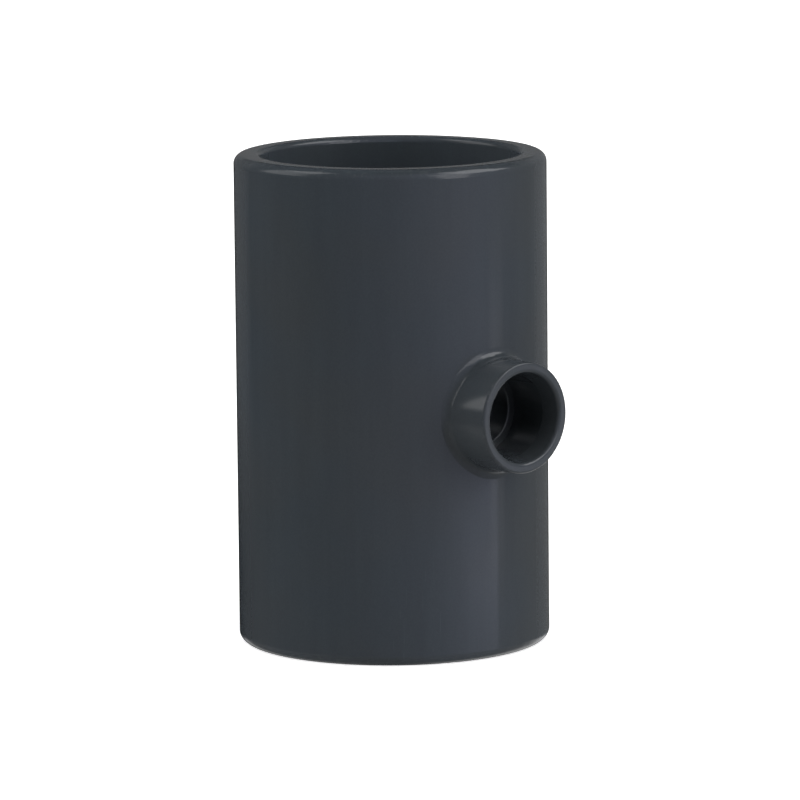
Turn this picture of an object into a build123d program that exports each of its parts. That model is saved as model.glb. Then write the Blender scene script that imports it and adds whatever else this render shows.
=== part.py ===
from build123d import *
import os

# Reducing tee for solvent-cemented PVC-U pressure pipe: a 63 mm run and a 20 mm branch.
# It is one injection moulding. A straight, thick-walled barrel has a pipe socket in each end,
# and a short socketed stub leaves the side of the barrel at half height.
#
# Frame, in millimetres: the origin is the centre of the lower end face, which the tee stands on.
# +Z runs up the barrel's axis, and +X leaves the barrel along the branch's axis.

# Pipes that the sockets take
run_pipe_diameter = 63.0
branch_pipe_diameter = 20.0
cement_clearance = 0.2          # socket diameter over pipe diameter

# Barrel
barrel_length = 120.0
barrel_diameter = 76.2
barrel_edge_radius = 2.4        # outer edge of each end

# Run sockets and the passage between their stops
run_socket_depth = 38.0
run_mouth_radius = 1.3          # rounded lead-in for the pipe
run_passage_diameter = 57.0
run_stop_edge_radius = 0.8

# Branch stub
branch_height = barrel_length / 2
branch_reach = 48.4             # from the barrel's axis to the branch mouth
branch_mouth_diameter = 26.8
branch_root_diameter = 27.4     # a little draft, so that the stub leaves the mould
branch_edge_radius = 0.6
branch_root_fillet = 2.4

# Branch socket and the passage behind its stop
branch_socket_depth = 15.0
branch_lead_in_width = 0.9      # conical lead-in for the pipe
branch_lead_in_depth = 5.0
branch_lip_radius = 1.0         # rounded edge between the lead-in and the mouth's face
branch_passage_diameter = 16.0
branch_stop_edge_radius = 0.4
branch_exit_radius = 0.6        # where the branch passage opens into the run passage

# Worked out from the sizes above
barrel_radius = barrel_diameter / 2
run_socket_radius = (run_pipe_diameter + cement_clearance) / 2
run_passage_radius = run_passage_diameter / 2
branch_socket_radius = (branch_pipe_diameter + cement_clearance) / 2
branch_passage_radius = branch_passage_diameter / 2
branch_lead_in_radius = branch_socket_radius + branch_lead_in_width
branch_stop_x = branch_reach - branch_socket_depth
stub_start_x = (run_socket_radius + barrel_radius) / 2   # inside the barrel's wall

size_margin = 0.01              # for finding edges by their radius
standing = (Align.CENTER, Align.CENTER, Align.MIN)       # a round solid stands on its own base


def along_branch(x):
    """A place on the branch's axis, x from the barrel's axis, whose own Z points out of the mouth."""
    return Location(Plane(origin=(x, 0, branch_height), x_dir=(0, 1, 0), z_dir=(1, 0, 0)))


def upright_cylinder(radius, bottom, top):
    """A cylinder on the barrel's axis."""
    return Pos(0, 0, bottom) * Cylinder(radius, top - bottom, align=standing)


def branch_cylinder(radius, inner_x, outer_x):
    """A cylinder on the branch's axis."""
    return along_branch(inner_x) * Cylinder(radius, outer_x - inner_x, align=standing)


def rings(shape, radius):
    """The circular edges of this radius."""
    circles = shape.edges().filter_by(GeomType.CIRCLE)
    return circles.filter_by(lambda edge: abs(edge.radius - radius) < size_margin)


def make_stub():
    """The branch's outside: a cone with a little draft and a softened mouth."""
    stub_length = branch_reach - stub_start_x
    cone = Cone(branch_root_diameter / 2, branch_mouth_diameter / 2, stub_length, align=standing)
    cone = fillet(rings(cone, branch_mouth_diameter / 2), branch_edge_radius)
    return along_branch(stub_start_x) * cone


def make_outside():
    """The barrel and the stub as one solid shape, blended where the stub leaves the barrel."""
    barrel = upright_cylinder(barrel_radius, 0, barrel_length)
    barrel = fillet(rings(barrel, barrel_radius), barrel_edge_radius)
    stub = make_stub()
    joined = barrel + stub
    return fillet(new_edges(barrel, stub, combined=joined), branch_root_fillet)


def bore_run(body):
    """Both run sockets, their rounded mouths and stops, and the passage between them."""
    body -= upright_cylinder(run_passage_radius, 0, barrel_length)
    body -= upright_cylinder(run_socket_radius, 0, run_socket_depth)
    body -= upright_cylinder(run_socket_radius, barrel_length - run_socket_depth, barrel_length)
    body = fillet(rings(body, run_passage_radius), run_stop_edge_radius)
    mouths = rings(body, run_socket_radius).group_by(Axis.Z)
    return fillet(mouths[0] + mouths[-1], run_mouth_radius)


def bore_branch(body):
    """The branch socket, its lead-in and stop, and the passage into the run."""
    passage = branch_cylinder(branch_passage_radius, 0, branch_reach)
    drilled = body - passage
    exit_edges = new_edges(body, passage, combined=drilled).group_by(Axis.X)[0]
    drilled = fillet(exit_edges, branch_exit_radius)
    drilled -= branch_cylinder(branch_socket_radius, branch_stop_x, branch_reach)
    lead_in = Cone(branch_socket_radius, branch_lead_in_radius, branch_lead_in_depth, align=standing)
    drilled -= along_branch(branch_reach - branch_lead_in_depth) * lead_in
    drilled = fillet(rings(drilled, branch_passage_radius), branch_stop_edge_radius)
    return fillet(rings(drilled, branch_lead_in_radius), branch_lip_radius)


tee_body = bore_branch(bore_run(make_outside()))
tee_body.label = "tee_body"

os.makedirs("parts", exist_ok=True)
export_step(tee_body, "parts/tee_body.step")
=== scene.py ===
import math

import bpy
from mathutils import Matrix, Vector


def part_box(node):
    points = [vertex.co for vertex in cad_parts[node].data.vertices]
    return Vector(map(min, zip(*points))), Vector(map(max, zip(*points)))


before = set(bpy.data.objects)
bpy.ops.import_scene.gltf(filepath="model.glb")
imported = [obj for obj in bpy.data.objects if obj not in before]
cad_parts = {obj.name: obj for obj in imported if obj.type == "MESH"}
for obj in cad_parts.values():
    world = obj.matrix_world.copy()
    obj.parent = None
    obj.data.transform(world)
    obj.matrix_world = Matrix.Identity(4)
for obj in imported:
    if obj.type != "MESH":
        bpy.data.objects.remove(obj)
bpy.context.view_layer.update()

# Where things are, from the frame: the tee stands on its lower end face, with its barrel on the Z axis
# and its branch pointing along +X.
tee_low, tee_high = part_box("tee_body")
barrel_radius = tee_high.y
barrel_length = tee_high.z - tee_low.z
barrel_centre = Vector((0, 0, tee_low.z + barrel_length / 2))
branch_reach = tee_high.x

# Sizes that the CAD model was made to
mm = 0.001
barrel_rounding = 2.4 * mm
run_bore_radius = 31.6 * mm
stub_mouth_radius = 13.4 * mm
stub_draft = 0.022              # the stub's narrowing, in radius per length
stub_rounding = 0.6 * mm
branch_bore_radius = 10.1 * mm
branch_stop = branch_reach - 15 * mm
lead_in_depth = 5 * mm

# Worked out from those sizes
stub_radius_at_axis = stub_mouth_radius + stub_draft * branch_reach     # if its cone ran on that far
run_bore_limit = run_bore_radius + 0.4 * mm                             # just inside the barrel's wall
branch_bore_limit = branch_bore_radius + 0.8 * mm                       # takes in most of the lead-in

# Camera: a long lens a little above the barrel, with the branch towards it on the right
camera_azimuth = math.radians(48.96)
camera_elevation = math.radians(9.08)
camera_roll = math.radians(-0.54)
camera_distance = 1.488
camera_lens = 273.7
framing_right = 0.0019          # the barrel stands a little left of the middle of the picture
framing_up = -0.0011


def viewing_axes():
    """The camera's right, up and backward directions before it is rolled."""
    back = Vector((
        math.sin(camera_azimuth) * math.cos(camera_elevation),
        -math.cos(camera_azimuth) * math.cos(camera_elevation),
        math.sin(camera_elevation),
    ))
    right = Vector((math.cos(camera_azimuth), math.sin(camera_azimuth), 0))
    return right, back.cross(right), back


def make_camera():
    right, up, back = viewing_axes()
    rolled_right = math.cos(camera_roll) * right + math.sin(camera_roll) * up
    rolled_up = math.cos(camera_roll) * up - math.sin(camera_roll) * right
    data = bpy.data.cameras.new("camera")
    data.lens = camera_lens
    data.sensor_width = 36
    data.clip_start = 0.05
    data.clip_end = 50
    camera = bpy.data.objects.new("camera", data)
    place = barrel_centre + camera_distance * back
    place += framing_right * rolled_right + framing_up * rolled_up
    turn = Matrix((rolled_right, rolled_up, back)).transposed().to_4x4()
    camera.matrix_world = Matrix.Translation(place) @ turn
    bpy.context.scene.collection.objects.link(camera)
    bpy.context.scene.camera = camera


class Graph:
    """Short ways to add nodes to a shader. An input is a number, a list of numbers or a node's output."""

    # A Mix node has sockets for each kind of data. These are the numbers of its vector sockets.
    mix_first = 4
    mix_second = 5
    mix_result = 1

    def __init__(self, tree):
        self.nodes = tree.nodes
        self.links = tree.links

    def node(self, kind, inputs, **settings):
        node = self.nodes.new(kind)
        for name, value in settings.items():
            setattr(node, name, value)
        for name, value in inputs.items():
            if isinstance(value, bpy.types.NodeSocket):
                self.links.new(value, node.inputs[name])
            else:
                node.inputs[name].default_value = value
        return node

    def math(self, operation, *values):
        node = self.node("ShaderNodeMath", dict(enumerate(values)), operation=operation)
        return node.outputs["Value"]

    def sum(self, *parts):
        total = parts[0]
        for part in parts[1:]:
            total = self.math("ADD", total, part)
        return total

    def product(self, *parts):
        total = parts[0]
        for part in parts[1:]:
            total = self.math("MULTIPLY", total, part)
        return total

    def weighted(self, start, *parts):
        """The start plus each part, which is a value and its weight."""
        return self.sum(start, *(self.product(value, weight) for value, weight in parts))

    def length(self, first, second):
        """The length of a vector with these two parts."""
        return self.math("SQRT", self.sum(self.product(first, first), self.product(second, second)))

    def ramp(self, value, start, end, low=0.0, high=1.0):
        """A smooth change from low to high while the value goes from start to end."""
        inputs = {"Value": value, "From Min": start, "From Max": end, "To Min": low, "To Max": high}
        node = self.node("ShaderNodeMapRange", inputs, interpolation_type="SMOOTHSTEP")
        return node.outputs["Result"]

    def inside(self, value, low, high):
        """1 between low and high, and 0 outside."""
        return self.product(self.math("GREATER_THAN", value, low), self.math("LESS_THAN", value, high))

    def window(self, value, low, high, low_softness, high_softness):
        """1 between low and high and 0 outside, with each edge centred there and this soft."""
        rise = self.ramp(value, low - low_softness / 2, low + low_softness / 2)
        fall = self.ramp(value, high - high_softness / 2, high + high_softness / 2, 1.0, 0.0)
        return self.product(rise, fall)

    def vector(self, x, y, z):
        return self.node("ShaderNodeCombineXYZ", {"X": x, "Y": y, "Z": z}).outputs["Vector"]

    def vector_math(self, operation, *values):
        node = self.node("ShaderNodeVectorMath", dict(enumerate(values)), operation=operation)
        return node.outputs["Vector"]

    def dot(self, direction, axis):
        node = self.node("ShaderNodeVectorMath", {0: direction, 1: axis}, operation="DOT_PRODUCT")
        return node.outputs["Value"]

    def scale(self, vector, factor):
        node = self.node("ShaderNodeVectorMath", {0: vector, "Scale": factor}, operation="SCALE")
        return node.outputs["Vector"]

    def choose(self, factor, first, second):
        """The first vector where the factor is 0, and the second where it is 1."""
        inputs = {"Factor": factor, self.mix_first: first, self.mix_second: second}
        return self.node("ShaderNodeMix", inputs, data_type="VECTOR").outputs[self.mix_result]


class Studio:
    """The room round the tee, in the world's shader: soft boxes and fill that light the matte part of
    the plastic, and soft panels that its gloss reflects. A turn is counted in degrees from the camera's
    side to its right, and a rise in degrees from the horizon."""

    def __init__(self):
        world = bpy.data.worlds.new("studio")
        world.use_nodes = True
        world.cycles.sampling_method = "NONE"
        bpy.context.scene.world = world
        self.graph = graph = Graph(world.node_tree)
        direction = graph.node("ShaderNodeTexCoord", {}).outputs["Generated"]
        right, _, back = viewing_axes()
        front = Vector((back.x, back.y, 0)).normalized()
        radians_turn = graph.math("ARCTAN2", graph.dot(direction, right), graph.dot(direction, front))
        self.turn = graph.math("MULTIPLY", radians_turn, math.degrees(1))
        radians_rise = graph.math("ARCSINE", graph.dot(direction, (0, 0, 1)))
        self.rise = graph.math("MULTIPLY", radians_rise, math.degrees(1))
        self.fill = [0.0, 0.0, 0.0]
        self.gloss = [0.0, 0.0, 0.0]

    def patch(self, turns, rises, radiance, turn_softness, rise_softness, colour=(1, 1, 1)):
        """A soft-edged rectangle of sky. It lies between two turns and between two rises, and is as
        bright as its radiance. Each softness is the width in degrees of the fade at the lower and at the
        higher end. Turns run from -180 to 180, so an end past them has no edge."""
        across = self.graph.window(self.turn, *turns, *turn_softness)
        upward = self.graph.window(self.rise, *rises, *rise_softness)
        return self.graph.scale([radiance * part for part in colour], self.graph.product(across, upward))

    def box(self, *patch):
        """A source that lights the matte part of the plastic."""
        self.fill = self.graph.vector_math("ADD", self.fill, self.patch(*patch))

    def panel(self, *patch):
        """A source that the gloss reflects."""
        self.gloss = self.graph.vector_math("ADD", self.gloss, self.patch(*patch))

    def finish(self):
        """Sends each kind of light ray to its own sources. The camera sees plain white."""
        graph = self.graph
        path = graph.node("ShaderNodeLightPath", {})
        light = graph.choose(path.outputs["Is Glossy Ray"], self.fill, self.gloss)
        light = graph.choose(path.outputs["Is Camera Ray"], light, (1, 1, 1))
        graph.links.new(light, graph.nodes["Background"].inputs["Color"])


def add_boxes(studio):
    # All round: light from the floor, and from overhead
    studio.box((-200, 200), (-100, -15), 0.45, (1, 1), (1, 30))
    studio.box((-200, 200), (60, 100), 0.45, (1, 1), (20, 1))

    # The sides and back: a broad wall on the left and on the right, and a brighter box in each
    studio.box((-200, -60), (-15, 60), 0.8, (1, 40), (30, 20))
    studio.box((60, 200), (-15, 60), 0.88, (40, 1), (30, 20))
    studio.box((-105, -58), (-25, 60), 0.85, (20, 20), (20, 20))
    studio.box((45, 105), (-5, 60), 1.1, (16, 20), (20, 20))

    # The front: a wing each side of the camera, the left one brighter in its upper part
    studio.box((-62, -28), (5, 65), 0.95, (30, 16), (15, 15))
    studio.box((-62, -28), (32, 70), 1.0, (30, 16), (15, 15))
    studio.box((34, 58), (10, 65), 1.5, (16, 16), (15, 15))


def add_panels(studio):
    cool = (0.95, 1.0, 1.3)

    # The right: a broad cool glow, with two brighter panels higher up in it
    studio.panel((-5, 92), (-12.3, 60), 0.46, (150, 70), (8, 16), cool)
    studio.panel((34, 62), (4, 44), 1.1, (10, 10), (8, 8))
    studio.panel((55, 108), (29, 60), 2.1, (12, 10), (6, 8))

    # The right, just below the horizon: a thin strip that the barrel shows low down, and a small patch
    studio.panel((50, 83.5), (-10.86, -10.1), 1.4, (60, 1.5), (0.7, 0.3), cool)
    studio.panel((77, 90), (-10.0, -8.4), 0.5, (3, 3), (0.4, 0.4))

    # The left: one panel above another
    studio.panel((-110, -70), (10, 50), 1.0, (8, 24), (8, 6))
    studio.panel((-104, -68), (46, 62), 1.4, (8, 10), (6, 8))

    # Behind the tee: faint panels on the right and left, and one in the middle, made in two halves
    studio.panel((100, 168), (-60, 30), 0.14, (50, 20), (10, 10))
    studio.panel((131, 165), (-9.5, 30), 0.05, (3, 20), (2.5, 10))
    studio.panel((-165, -130), (-9.5, 30), 0.09, (20, 8), (2.5, 10))
    studio.panel((165, 181), (-5, 16), 0.14, (20, 1), (6, 5))
    studio.panel((-181, -165), (-5, 16), 0.14, (1, 20), (6, 5))

    # Below: the floor all round, a cool part in front on the right, and two bright parts behind
    studio.panel((-200, 200), (-100, -14), 0.16, (1, 1), (1, 6))
    studio.panel((15, 95), (-70, -16), 0.14, (50, 30), (30, 4), cool)
    studio.panel((130, 165), (-70, -16), 0.7, (30, 12), (30, 4))
    studio.panel((-160, -145), (-70, -16), 0.5, (10, 10), (30, 4))


def make_studio():
    studio = Studio()
    add_boxes(studio)
    add_panels(studio)
    studio.finish()


def make_floor():
    """A plain white table that glows a little. It isn't mirrored in the plastic."""
    mesh = bpy.data.meshes.new("floor")
    reach = 20
    corners = [(-reach, -reach, 0), (reach, -reach, 0), (reach, reach, 0), (-reach, reach, 0)]
    mesh.from_pydata(corners, [], [(0, 1, 2, 3)])
    floor = bpy.data.objects.new("floor", mesh)
    floor.location.z = tee_low.z
    material = bpy.data.materials.new("floor")
    material.use_nodes = True
    surface = material.node_tree.nodes["Principled BSDF"]
    surface.inputs["Base Color"].default_value = (0.92, 0.92, 0.92, 1)
    surface.inputs["Roughness"].default_value = 1.0
    surface.inputs["Specular IOR Level"].default_value = 0.0
    surface.inputs["Emission Color"].default_value = (1, 1, 1, 1)
    surface.inputs["Emission Strength"].default_value = 0.7
    mesh.materials.append(material)
    floor.visible_glossy = False
    floor.visible_diffuse = False
    bpy.context.scene.collection.objects.link(floor)


class Shape(Graph):
    """Where a point of the tee's surface is, for its material, in metres from the CAD model's origin."""

    def __init__(self, tree):
        super().__init__(tree)
        self.place = self.node("ShaderNodeTexCoord", {}).outputs["Object"]
        parts = self.node("ShaderNodeSeparateXYZ", {0: self.place})
        self.x, self.y, self.z = parts.outputs
        self.above_branch = self.math("SUBTRACT", self.z, barrel_centre.z)
        self.from_run = self.length(self.x, self.y)
        self.from_branch = self.length(self.y, self.above_branch)
        self.from_middle = self.math("ABSOLUTE", self.above_branch)

    def near(self, value, target, below, above):
        """1 where the value is on its target, and 0 where it is this far below or above."""
        gap = self.math("SUBTRACT", value, target)
        return self.product(self.ramp(gap, -below, -below * 0.9), self.ramp(gap, 0, above, 1.0, 0.0))

    def close_to(self, value, edge, start, full):
        """0 up to the start, 1 from the full on. Each is a distance short of the edge."""
        return self.ramp(value, edge - start, edge - full)

    def true_normal(self):
        """The normal of the round faces' true cylinders and cones, and the mesh's own elsewhere. The mesh
        has flat facets, which show as streaks where gloss meets them at a slant."""
        facet = 0.06 * mm       # more than any facet dips below the true surface
        blend = 0.012 * mm      # the mesh's own normal takes over within this height above it
        out_of_run = self.vector(self.x, self.y, 0.0)
        out_of_stub = self.vector(stub_draft * stub_mouth_radius, self.y, self.above_branch)
        out_of_branch = self.vector(0.0, self.y, self.above_branch)
        stub_radius = self.math("MULTIPLY_ADD", self.x, -stub_draft, stub_radius_at_axis)
        side = self.product(
            self.near(self.from_run, barrel_radius, facet, blend),
            self.math("LESS_THAN", self.from_middle, barrel_length / 2 - barrel_rounding),
        )
        stub = self.product(
            self.near(self.from_branch, stub_radius, facet, blend),
            self.inside(self.x, barrel_radius * 0.9, branch_reach - stub_rounding),
        )
        bore = self.product(
            self.near(self.from_branch, branch_bore_radius, facet, blend),
            self.inside(self.x, branch_stop, branch_reach - lead_in_depth),
        )
        normal = self.node("ShaderNodeNewGeometry", {}).outputs["Normal"]
        for amount, way in (
            (side, self.scale(out_of_run, 1 / barrel_radius)),
            (stub, self.scale(out_of_stub, 1 / stub_mouth_radius)),
            (bore, self.scale(out_of_branch, -1 / branch_bore_radius)),
        ):
            normal = self.choose(amount, normal, way)
        return self.vector_math("NORMALIZE", normal)


class Plastic(Shape):
    """Dark grey moulded PVC-U. It is the same right through, so wear shows as a duller, lighter rub."""

    refraction = 1.53
    warmer_grey = (0.0545, 0.062, 0.069)
    cooler_grey = (0.0515, 0.062, 0.073)
    rubbed_grey = (0.10, 0.108, 0.115)
    polish = 0.12                   # roughness of the unworn outside

    def __init__(self, tree):
        super().__init__(tree)
        self.in_run = self.math("LESS_THAN", self.from_run, run_bore_limit)
        in_branch = self.product(
            self.math("GREATER_THAN", self.x, run_bore_limit),
            self.math("LESS_THAN", self.from_branch, branch_bore_limit),
        )
        self.bored = self.math("MAXIMUM", self.in_run, in_branch)
        self.specks = self.pattern(0.45 * mm, 0.45 * mm, 1)
        self.rubbed = self.rubs()
        self.scuffed = self.scuffs()

    def pattern(self, across, along, detail):
        """Noise from about -0.5 to 0.5, whose blotches are this wide and this tall."""
        stretched = self.vector_math("MULTIPLY", self.place, (1 / across, 1 / across, 1 / along))
        noise = self.node("ShaderNodeTexNoise", {"Vector": stretched, "Scale": 1.0, "Detail": detail})
        return self.math("SUBTRACT", noise.outputs["Fac"], 0.5)

    def rubs(self):
        """Patchy rubs on the outer corners that get handled: the barrel's rims and the branch's lip."""
        rim = self.product(
            self.close_to(self.from_run, barrel_radius, 3 * mm, 1 * mm),
            self.close_to(self.from_middle, barrel_length / 2, 2.6 * mm, 1 * mm),
        )
        lip = self.product(
            self.close_to(self.x, branch_reach, 1.4 * mm, 0.4 * mm),
            self.close_to(self.from_branch, stub_mouth_radius, 1.5 * mm, 0.4 * mm),
        )
        patches = self.ramp(self.pattern(1.2 * mm, 1.2 * mm, 3), 0.03, 0.16)
        return self.product(self.math("MAXIMUM", rim, lip), patches)

    def scuffs(self):
        """A few fine upright scuffs on the outside."""
        lines = self.ramp(self.pattern(0.35 * mm, 9 * mm, 2), 0.17, 0.24)
        areas = self.ramp(self.pattern(22 * mm, 30 * mm, 2), 0.03, 0.15)
        return self.product(lines, areas, self.math("SUBTRACT", 1.0, self.bored))

    def colour(self):
        """Slow flow marks of the melt, fine specks of pigment, a slow change of hue, and the wear."""
        clouds = self.pattern(26 * mm, 60 * mm, 3)
        flow = self.pattern(3.5 * mm, 45 * mm, 2)
        tone = self.weighted(1.0, (clouds, 0.22), (flow, 0.12), (self.specks, 0.16), (self.scuffed, 0.15))
        hue = self.ramp(self.pattern(35 * mm, 35 * mm, 2), -0.2, 0.2)
        clean = self.scale(self.choose(hue, self.warmer_grey, self.cooler_grey), tone)
        return self.choose(self.product(self.rubbed, 0.2), clean, self.rubbed_grey)

    def roughness(self):
        """A polished mould outside, with an uneven gloss, and duller cores in the bores."""
        return self.weighted(
            self.polish,
            (self.pattern(9 * mm, 14 * mm, 3), 0.10),
            (self.specks, 0.05),
            (self.bored, 0.06),
            (self.scuffed, 0.12),
            (self.rubbed, 0.06),
        )

    def normal(self):
        """The mould's faint ripple, drag lines along the run's bores, and the scuffs, on the true shape.
        A weight is a height in metres."""
        ripple = self.pattern(2.6 * mm, 2.6 * mm, 1)
        drag = self.product(self.pattern(0.4 * mm, 25 * mm, 2), self.in_run)
        relief = self.weighted(0.0, (ripple, 4e-6), (drag, 2e-6), (self.scuffed, -1e-6))
        inputs = {"Height": relief, "Distance": 1.0, "Normal": self.true_normal()}
        return self.node("ShaderNodeBump", inputs).outputs["Normal"]


def make_pvc():
    material = bpy.data.materials.new("dark_grey_pvc")
    material.use_nodes = True
    plastic = Plastic(material.node_tree)
    surface = plastic.nodes["Principled BSDF"]
    surface.inputs["IOR"].default_value = plastic.refraction
    plastic.links.new(plastic.colour(), surface.inputs["Base Color"])
    plastic.links.new(plastic.roughness(), surface.inputs["Roughness"])
    plastic.links.new(plastic.normal(), surface.inputs["Normal"])
    return material


def dress_tee():
    """Gives the CAD body its material, and normals that follow its larger faces."""
    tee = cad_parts["tee_body"]
    tee.data.materials.clear()
    tee.data.materials.append(make_pvc())
    even = tee.modifiers.new("even_normals", "WEIGHTED_NORMAL")
    even.keep_sharp = True
    even.weight = 100


make_camera()
make_studio()
make_floor()
dress_tee()

bpy.context.scene.view_settings.view_transform = "Standard"
